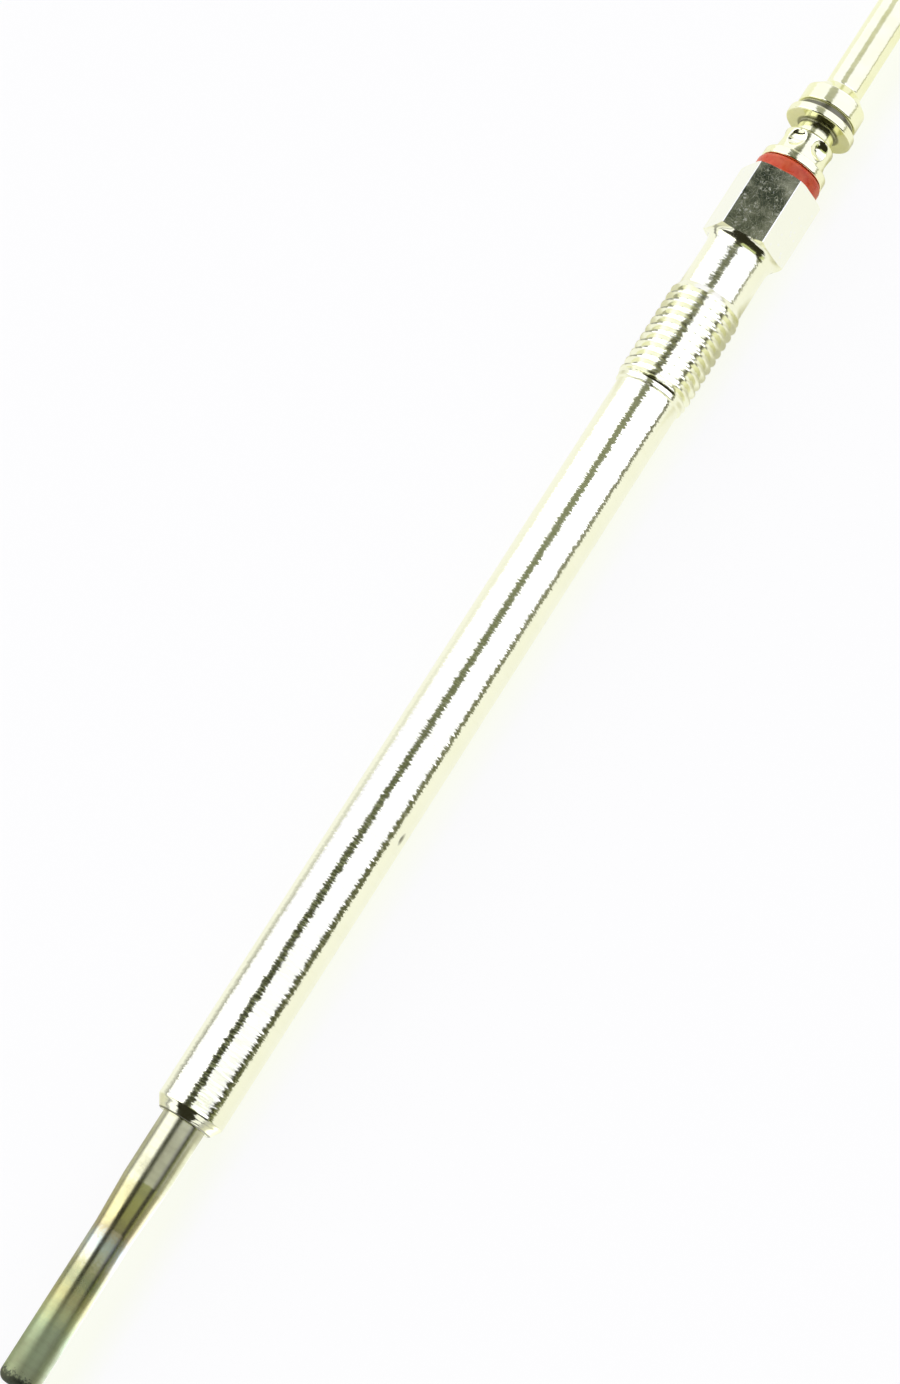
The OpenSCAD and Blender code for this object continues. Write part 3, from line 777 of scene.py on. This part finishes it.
# A coil is a round wire carried along a helix with a quarter bend and a straight lead at each end. Places are
# (up, side, along), and the wire's section is set square to the path, one side facing away from the axis.
def buildCoil(name, size, foot, head, turns, turn):
    coilR, wireR, bend = size["coil"] / 2, size["wire"] / 2, size["bend"]
    low, high = foot + size["lead"], head - size["lead"]
    quarter = np.radians(np.linspace(90, 0, size["bendSteps"] + 1))[:-1]
    climb = low - bend * (1 - np.cos(quarter))
    leadIn = np.stack([np.full(len(quarter), coilR), -bend * np.sin(quarter), climb], -1)
    leadOut = np.stack([leadIn[:, 0], -leadIn[:, 1], high + low - leadIn[:, 2]], -1)[::-1]
    share = np.linspace(0, 1, int(turns * size["stepsPerTurn"]) + 1)
    wind = 2 * np.pi * turns * share
    helix = np.stack([coilR * np.cos(wind), coilR * np.sin(wind), low + (high - low) * share], -1)
    path = np.vstack([[[coilR, -bend, foot]], leadIn, helix, leadOut, [[coilR, bend, head]]])
    along = np.gradient(path, axis=0)
    along /= np.linalg.norm(along, axis=1, keepdims=True)
    out = path * [1, 1, 0]
    out /= np.linalg.norm(out, axis=1, keepdims=True)
    side = out - np.sum(out * along, axis=1, keepdims=True) * along
    side /= np.linalg.norm(side, axis=1, keepdims=True)
    other = np.cross(along, side)
    section = evenAngles(size["sides"])[:, None]
    rings = path[:, None] + wireR * (np.cos(section) * side[:, None] + np.sin(section) * other[:, None])
    cos, sin = np.cos(turn), np.sin(turn)

    def laid(point):
        up = point[..., 0] * cos - point[..., 1] * sin
        across = point[..., 0] * sin + point[..., 1] * cos
        return np.stack([point[..., 2], -across, up], axis=-1)

    return makePiece(name, laid(rings), laid(path[[0, -1]]), size["sharp"])


# A finish that drifts between two colours, with a fine roughness
def hazedMaterial(name, look):
    material, tree, socket = startMaterial(name, Metallic=look["metallic"])
    haze = useGroup(tree, platingHaze, Size=look["hazeSize"])
    tree.links.new(mixColor(tree, haze["Mask"], look["bright"], look["dark"]), socket["Base Color"])
    tree.links.new(remap(tree, haze["Fine"], *fineSpan, look["smooth"], look["rough"]), socket["Roughness"])
    tree.links.new(bumpOf(tree, haze["Fine"], look["deep"]), socket["Normal"])
    return material


heatingLook = {
    "metallic": 1.0, "bright": (0.5, 0.51, 0.53), "dark": (0.3, 0.3, 0.31), "hazeSize": 0.8,
    "smooth": 0.25, "rough": 0.45, "deep": 0.004,
}
controlLook = {**heatingLook, "bright": (0.62, 0.6, 0.54), "dark": (0.4, 0.38, 0.33)}
leadTurn = np.arctan2(coilWire["bend"], coilWire["coil"] / 2)
heatingCoil = buildCoil("heatingCoil", coilWire, coilFoot, coilWeld, coilWire["heatingTurns"], 0.0)
controlCoil = buildCoil("controlCoil", coilWire, coilWeld, poleFoot, coilWire["controlTurns"], 2 * leadTurn)
settle(heatingCoil, "heating_coil", "coil_wire", hazedMaterial("heatingWire", heatingLook))
settle(controlCoil, "control_coil", "control_wire", hazedMaterial("controlWire", controlLook))
print("coils built")


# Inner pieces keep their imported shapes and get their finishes
powderLook = {
    "pale": (0.88, 0.86, 0.79), "dark": (0.78, 0.75, 0.66), "grain": 0.12, "hazeSize": 1.5,
    "smooth": 0.8, "rough": 0.95, "deep": 0.02,
}
rubberLook = {
    "metallic": 0.0, "bright": (0.028, 0.028, 0.027), "dark": (0.055, 0.053, 0.05), "hazeSize": 1.0,
    "smooth": 0.5, "rough": 0.72, "deep": 0.006,
}
poleLook = {
    "bright": (0.66, 0.66, 0.63), "dark": (0.5, 0.5, 0.47), "darkSpan": (0.35, 0.7),
    "markAlong": 9.0, "markAcross": 0.12, "smooth": 0.2, "rough": 0.36, "deep": 0.003,
}


def powderMaterial(look):
    material, tree, socket = startMaterial("pressedPowder", Metallic=0.0)
    grains = useGroup(tree, grit, Size=look["grain"])
    haze = useGroup(tree, platingHaze, Size=look["hazeSize"])
    tree.links.new(mixColor(tree, haze["Mask"], look["pale"], look["dark"]), socket["Base Color"])
    tree.links.new(mixValue(tree, grains["Height"], look["smooth"], look["rough"]), socket["Roughness"])
    tree.links.new(bumpOf(tree, grains["Height"], look["deep"]), socket["Normal"])
    return material


# Drawn steel: marks stretched along the rod
def poleMaterial(look):
    material, tree, socket = startMaterial("drawnPole", Metallic=1.0)
    point = markPoint(tree, look["markAlong"] * mm, look["markAcross"] * mm)
    drawn = noiseOf(tree, point, 1.0, 3.0, 0.6)
    darker = remap(tree, drawn, *look["darkSpan"])
    tree.links.new(mixColor(tree, darker, look["bright"], look["dark"]), socket["Base Color"])
    tree.links.new(remap(tree, drawn, *fineSpan, look["smooth"], look["rough"]), socket["Roughness"])
    tree.links.new(bumpOf(tree, drawn, look["deep"]), socket["Normal"])
    return material


rubber = hazedMaterial("sealRubber", rubberLook)
innerFinishes = {
    "insulating_powder": powderMaterial(powderLook), "tube_seal": rubber, "o_ring": rubber,
    "center_pole": poleMaterial(poleLook),
}
for node, material in innerFinishes.items():
    frame["nodes"][node].data.materials.clear()
    frame["nodes"][node].data.materials.append(material)
print("inner pieces finished")


# Angles in degrees. The colours of an area are stops by lean, its edges are turns that follow the lean as
# broken lines, and the other pairs are fades from nothing to full.
studio = {
    "left": [
        (-90, (1.0, 1.0, 1.1)), (-14, (1.4, 1.4, 1.5)), (-8, (2.6, 2.6, 2.6)), (-1, (3.1, 3.1, 3.1)),
        (0.8, (2.0, 2.0, 2.0)), (3, (2.4, 2.4, 2.8)), (8, (1.15, 1.14, 1.45)), (12, (1.08, 1.07, 1.4)),
        (16, (1.1, 1.1, 1.4)), (17.5, (1.7, 1.7, 2.1)), (21, (1.7, 1.7, 2.1)), (22.5, (1.1, 1.1, 1.4)),
        (34, (1.05, 1.05, 1.35)), (37, (1.2, 1.2, 1.7)), (46, (1.2, 1.2, 1.7)), (50, (1.02, 1.01, 1.3)),
        (90, (1.02, 1.01, 1.3)),
    ],
    "right": [
        (-90, (1.0, 1.0, 1.05)), (-14, (1.0, 1.0, 1.05)), (-9, (0.4, 0.42, 0.25)), (-3, (0.78, 0.85, 0.43)),
        (-0.6, (0.5, 0.56, 0.28)), (0.4, (0.13, 0.15, 0.07)), (1.4, (0.15, 0.17, 0.08)),
        (2.1, (0.48, 0.5, 0.27)), (2.7, (0.72, 0.77, 0.4)), (3.7, (0.84, 0.88, 0.52)),
        (4.1, (1.25, 1.25, 1.55)), (6, (1.12, 1.12, 1.42)), (16, (1.1, 1.1, 1.4)), (17.5, (2.0, 2.0, 2.6)),
        (21, (2.0, 2.0, 2.6)), (22.5, (1.1, 1.1, 1.4)), (34, (1.05, 1.05, 1.35)), (37, (1.5, 1.5, 2.4)),
        (46, (1.5, 1.5, 2.4)), (50, (1.02, 1.01, 1.3)), (90, (1.02, 1.01, 1.3)),
    ],
    "panelSplit": (-7.0, -5.0),
    "gap": [
        (-90, (0.02, 0.02, 0.013)), (1.2, (0.05, 0.05, 0.03)), (1.7, (0.14, 0.14, 0.08)),
        (2.4, (0.14, 0.14, 0.08)), (2.8, (0.06, 0.06, 0.035)), (4, (0.022, 0.025, 0.012)),
        (8.4, (0.06, 0.065, 0.035)), (12, (0.14, 0.15, 0.09)), (16, (0.22, 0.24, 0.15)),
        (18.95, (0.33, 0.35, 0.24)), (19.15, (0.12, 0.12, 0.07)), (20.3, (0.12, 0.12, 0.07)),
        (20.8, (0.52, 0.54, 0.4)), (21.5, (0.2, 0.21, 0.15)), (22.2, (0.02, 0.028, 0.021)),
        (24.0, (0.02, 0.028, 0.021)), (24.5, (0.26, 0.27, 0.22)), (24.9, (0.72, 0.72, 0.66)),
        (34, (0.8, 0.8, 0.74)), (36, (0.03, 0.03, 0.02)), (47, (0.03, 0.03, 0.02)), (50, (0.7, 0.7, 0.66)),
        (90, (0.72, 0.72, 0.66)),
    ],
    "gapLow": [(3.6, -23.0), (4.0, -18.5), (21.6, -18.5), (22.2, -30.0)],
    "gapHigh": [(22.0, 4.5), (25.5, -2.0)], "gapSoft": 1.5,
    "side": [
        (-90, (0.02, 0.02, 0.01)), (1.2, (0.03, 0.03, 0.015)), (1.7, (0.1, 0.1, 0.05)),
        (2.4, (0.1, 0.1, 0.05)), (2.8, (0.035, 0.036, 0.016)), (3.8, (0.035, 0.036, 0.016)),
        (8.4, (0.1, 0.105, 0.055)), (12, (0.18, 0.185, 0.11)), (18.95, (0.32, 0.32, 0.26)),
        (19.15, (0.04, 0.04, 0.02)), (20.9, (0.04, 0.04, 0.02)), (21.05, (0.36, 0.36, 0.3)),
        (22, (0.38, 0.38, 0.32)), (26, (0.62, 0.62, 0.55)), (27.6, (0.62, 0.62, 0.55)),
        (28.8, (0.03, 0.03, 0.015)), (36, (0.03, 0.03, 0.015)), (38, (0.65, 0.65, 0.6)),
        (90, (0.7, 0.7, 0.65)),
    ],
    "sideLow": [(3.6, 55.0), (4.0, 63.6), (27.8, 85.02), (29.0, 74.0)],
    "sideHigh": [(3.6, 79.0), (4.0, 200.0)], "sideSoft": 2.0, "sideFrom": (-30.0, -20.0),
    "front": (0.025, 0.024, 0.014), "frontSoft": 4.0, "frontFades": [(-3.0, -8.0), (-76.0, -69.0)],
    "frontLow": [
        (-57.0, -57.0), (-25.0, -38.95), (-18.0, -87.0), (-11.0, -77.85), (-7.0, -20.62), (-5.0, -18.0),
    ],
    "frontHigh": [
        (-60.0, 46.0), (-54.0, 48.07), (-48.0, 90.15), (-21.0, 99.47), (-16.0, 61.2), (-5.0, 65.0),
    ],
    "farTurn": (-80.0, -84.0), "farLean": (14.0, 4.0), "farShade": 0.5,
    "backdrop": (0.985, 0.985, 0.985),
}
black = (0.0, 0.0, 0.0)


# Colour by an angle in degrees, from stops (angle, colour); ramps hold half of each value
def degreeRamp(tree, angle, stops):
    halved = [((at + 90) / 180, tuple(part / 2 for part in color)) for at, color in stops]
    return scaled(tree, rampOf(tree, remap(tree, angle, -90.0, 90.0), halved), 2.0)


# Surroundings by direction: turn is the angle round the plug's axis from straight up, positive to -Y, and lean
# the angle along the axis. Two white panels stand on both sides of a dark gap overhead, a dark side lies low
# towards -Y and a dark front towards the tip. The heater sees the leans below 4 degrees, which have edges of
# their own, and the dark bands above 28 degrees give the thread its dots. The camera itself sees plain white.
def buildStudio(look):
    world = bpy.data.worlds.new("studio")
    bpy.context.scene.world = world
    world.use_nodes = True
    tree = world.node_tree
    tree.nodes.clear()
    way = put(tree, "SeparateXYZ", {0: put(tree, "TexCoord").outputs["Generated"]}).outputs
    turn = calc(tree, "DEGREES", calc(tree, "ARCTAN2", product(tree, way[1], -1.0), way[2]))
    lean = calc(tree, "DEGREES", calc(tree, "ARCSINE", way[0]))

    # Mask of the turns between two broken lines
    def between(lowStops, highStops, soft):
        over = calc(tree, "SUBTRACT", turn, brokenLine(tree, lean, lowStops))
        under = calc(tree, "SUBTRACT", brokenLine(tree, lean, highStops), turn)
        return product(tree, remap(tree, over, -soft, soft, way="SMOOTHSTEP"),
                       remap(tree, under, -soft, soft, way="SMOOTHSTEP"))

    gap = between(look["gapLow"], look["gapHigh"], look["gapSoft"])
    side = between(look["sideLow"], look["sideHigh"], look["sideSoft"])
    side = product(tree, side, remap(tree, lean, *look["sideFrom"]))
    front = between(look["frontLow"], look["frontHigh"], look["frontSoft"])
    for fade in look["frontFades"]:
        front = product(tree, front, remap(tree, lean, *fade, way="SMOOTHSTEP"))
    far = remap(tree, turn, *look["farTurn"], 0.0, look["farShade"], way="SMOOTHSTEP")
    far = product(tree, far, remap(tree, lean, *look["farLean"]))
    left = mixColor(tree, far, degreeRamp(tree, lean, look["left"]), black)
    right = degreeRamp(tree, lean, look["right"])
    light = mixColor(tree, remap(tree, turn, *look["panelSplit"]), left, right)
    light = mixColor(tree, side, light, degreeRamp(tree, lean, look["side"]))
    light = mixColor(tree, gap, light, degreeRamp(tree, lean, look["gap"]))
    light = mixColor(tree, front, light, look["front"])
    light = mixColor(tree, put(tree, "LightPath").outputs["Is Camera Ray"], light, look["backdrop"])
    back = put(tree, "Background", {"Color": light, "Strength": 1.0})
    tree.links.new(back.outputs[0], put(tree, "OutputWorld").inputs["Surface"])


# Places are x along the plug and y across it. Four places are a window, two are a fade from nothing to full.
paleFloor = {
    "reach": 1500.0, "board": (0.94, 0.93, 0.76), "lift": 0.86, "white": (1.045, 1.045, 1.06),
    "fibre": (0.9, 0.9, 0.8), "fibreShare": 0.02, "fibreScale": 40.0,
    # painted warm bounce light and shade on the floor beside the plug on its -Y side
    "bounceAndShade": (1.03, 1.045, 0.95), "bounceAndShadeAcross": (-6.0, -2.8, -1.0, 0.0), "bounceAndShadeEnd": 6.0,
    # painted deeper shade next to the heater, the thread and the flange, seen only in metal
    "near": [((-63, -60, -3, 0), (40, 5)), ((85, 88, 97, 100), (26, 5)), ((110, 113, 120, 123), (8, 4))],
    "nearTint": (0.95, 0.93, 0.62), "nearLift": 0.25,
    # painted shade strips that only metal sees, beside the lower shank, the heater and the thread
    "shankAcross": (15, 24, 200, 400), "shankAlong": (70, 20), "shankDark": [(30, 0.34), (90, 0.8)],
    "heaterAcross": (-12, -20), "heaterAlong": (0, -3), "heaterDark": 0.5,
    "threadAlong": (83.0, 83.4, 93.6, 94.0), "threadSlant": 0.375,
    "threadAcross": (10, 12), "threadDark": 0.75,
    # a painted bright strip that only metal sees, close to the heater on its -Y side
    "edgeAcross": (-11.0, -8.0, -2.0, -0.5), "edgeLight": (1.5, 1.52, 1.5),
    "tipLight": (2.4, 2.4, 3.0), "tipAlong": (-6.5, -10.0),
}


# The floor is a pale board; seen directly or in metal it is lifted towards white and keeps part of its shadow,
# with painted warm bounce light and shade beside the plug on its -Y side. In metal a painted deeper shade lies
# next to the heater, the thread and the flange, painted shade strips run beside the lower shank, the heater
# and the thread, and a painted bright strip runs close to the heater on its -Y side.
def buildFloor(look):
    reach = look["reach"] * mm
    mesh = bpy.data.meshes.new("floor")
    corners = [(-reach, -reach), (reach, -reach), (reach, reach), (-reach, reach)]
    mesh.from_pydata([(*corner, floorAt) for corner in corners], [], [(0, 1, 2, 3)])
    floor = bpy.data.objects.new("floor", mesh)
    bpy.context.scene.collection.objects.link(floor)
    material = bpy.data.materials.new("paleFloor")
    material.use_nodes = True
    tree = material.node_tree
    tree.nodes.clear()
    fibre = noiseOf(tree, objectPoint(tree), look["fibreScale"])
    fibre = remap(tree, fibre, *fineSpan, 0.0, look["fibreShare"])
    shade = mixColor(tree, fibre, look["board"], look["fibre"])
    board = put(tree, "BsdfDiffuse", {"Color": shade}).outputs[0]
    rays = put(tree, "LightPath").outputs
    inMetal = calc(tree, "ADD", rays["Is Glossy Ray"], rays["Is Transmission Ray"], clamp=True)
    x, y = placeInMm(tree)[:2]
    apart = calc(tree, "ABSOLUTE", y)
    # painted deeper shade next to the heater, the thread and the flange, seen only in metal
    near = 0.0
    for along, across in look["near"]:
        held = product(tree, window(tree, x, along), remap(tree, apart, *across))
        near = calc(tree, "MAXIMUM", near, held)
    # painted shade strips that only metal sees, beside the lower shank, the heater and the thread
    shank = product(tree, window(tree, y, look["shankAcross"]), brokenLine(tree, y, look["shankDark"]))
    shank = product(tree, shank, remap(tree, x, *look["shankAlong"]))
    atHeater = remap(tree, x, *look["heaterAlong"])
    heater = product(tree, remap(tree, y, *look["heaterAcross"], 0.0, look["heaterDark"]), atHeater)
    slanted = calc(tree, "MULTIPLY_ADD", y, -look["threadSlant"], x)
    thread = remap(tree, y, *look["threadAcross"], 0.0, look["threadDark"])
    thread = product(tree, window(tree, slanted, look["threadAlong"]), thread)
    strips = calc(tree, "MAXIMUM", calc(tree, "ADD", shank, heater), thread)
    # a painted bright strip that only metal sees, close to the heater on its -Y side
    edge = product(tree, window(tree, y, look["edgeAcross"]), inMetal, atHeater)
    edgeLight = mixColor(tree, remap(tree, x, *look["tipAlong"]), look["edgeLight"], look["tipLight"])
    # painted warm bounce light and shade beside the plug on its -Y side, seen directly and in metal
    beside = window(tree, x, (tipAt - look["bounceAndShadeEnd"], tipAt, pinEnd, pinEnd + look["bounceAndShadeEnd"]))
    bounceAndShade = product(tree, window(tree, y, look["bounceAndShadeAcross"]), beside)
    white = mixColor(tree, bounceAndShade, look["white"], look["bounceAndShade"])
    white = mixColor(tree, product(tree, near, inMetal), white, look["nearTint"])
    white = mixColor(tree, product(tree, strips, inMetal), white, black)
    white = mixColor(tree, edge, white, edgeLight)
    glow = put(tree, "Emission", {"Color": white, "Strength": 1.0}).outputs[0]
    metalLift = mixValue(tree, edge, remap(tree, near, 0.0, 1.0, look["lift"], look["nearLift"]), 1.0)
    lift = product(tree, rays["Is Camera Ray"], look["lift"])
    lift = calc(tree, "MULTIPLY_ADD", inMetal, metalLift, lift)
    mixed = put(tree, "MixShader", {0: lift, 1: board, 2: glow}).outputs[0]
    tree.links.new(mixed, put(tree, "OutputMaterial").inputs["Surface"])
    mesh.materials.append(material)


buildStudio(studio)
buildFloor(paleFloor)
print("studio and floor built")


photoView = {
    "lens": 85.06, "sensor": 36.0, "distance": 316.6, "lean": 12.7, "roll": 13.5,
    "target": 47.4, "aside": -0.74, "axisRight": 0.53913, "axisUp": 0.84222, "clip": (10.0, 20000.0),
}


# The camera looks down on the plug from a little to its -Y side and towards its tip; the plug's axis runs to
# the upper right of the picture.
def buildCamera(size):
    lean, roll = np.radians(size["lean"]), np.radians(size["roll"])
    axis = np.array([1.0, 0, 0])
    above = np.array([0, -np.sin(roll), np.cos(roll)])
    back = np.cos(lean) * above - np.sin(lean) * axis
    along = axis - (axis @ back) * back
    along /= np.linalg.norm(along)
    across = np.cross(along, back)
    right = size["axisRight"] * along + size["axisUp"] * across
    up = size["axisUp"] * along - size["axisRight"] * across
    place = size["target"] * axis + size["aside"] * across + size["distance"] * back
    camera = bpy.data.objects.new("photoCamera", bpy.data.cameras.new("photoCamera"))
    bpy.context.scene.collection.objects.link(camera)
    camera.data.sensor_width = size["sensor"]
    camera.data.lens = size["lens"]
    camera.data.clip_start, camera.data.clip_end = [limit * mm for limit in size["clip"]]
    facing = Matrix(np.stack([right, up, back], axis=-1).tolist()).to_4x4()
    camera.matrix_world = Matrix.Translation(Vector(place * mm)) @ facing
    bpy.context.scene.camera = camera


buildCamera(photoView)
bpy.context.scene.view_settings.view_transform = "Standard"
print("camera set")
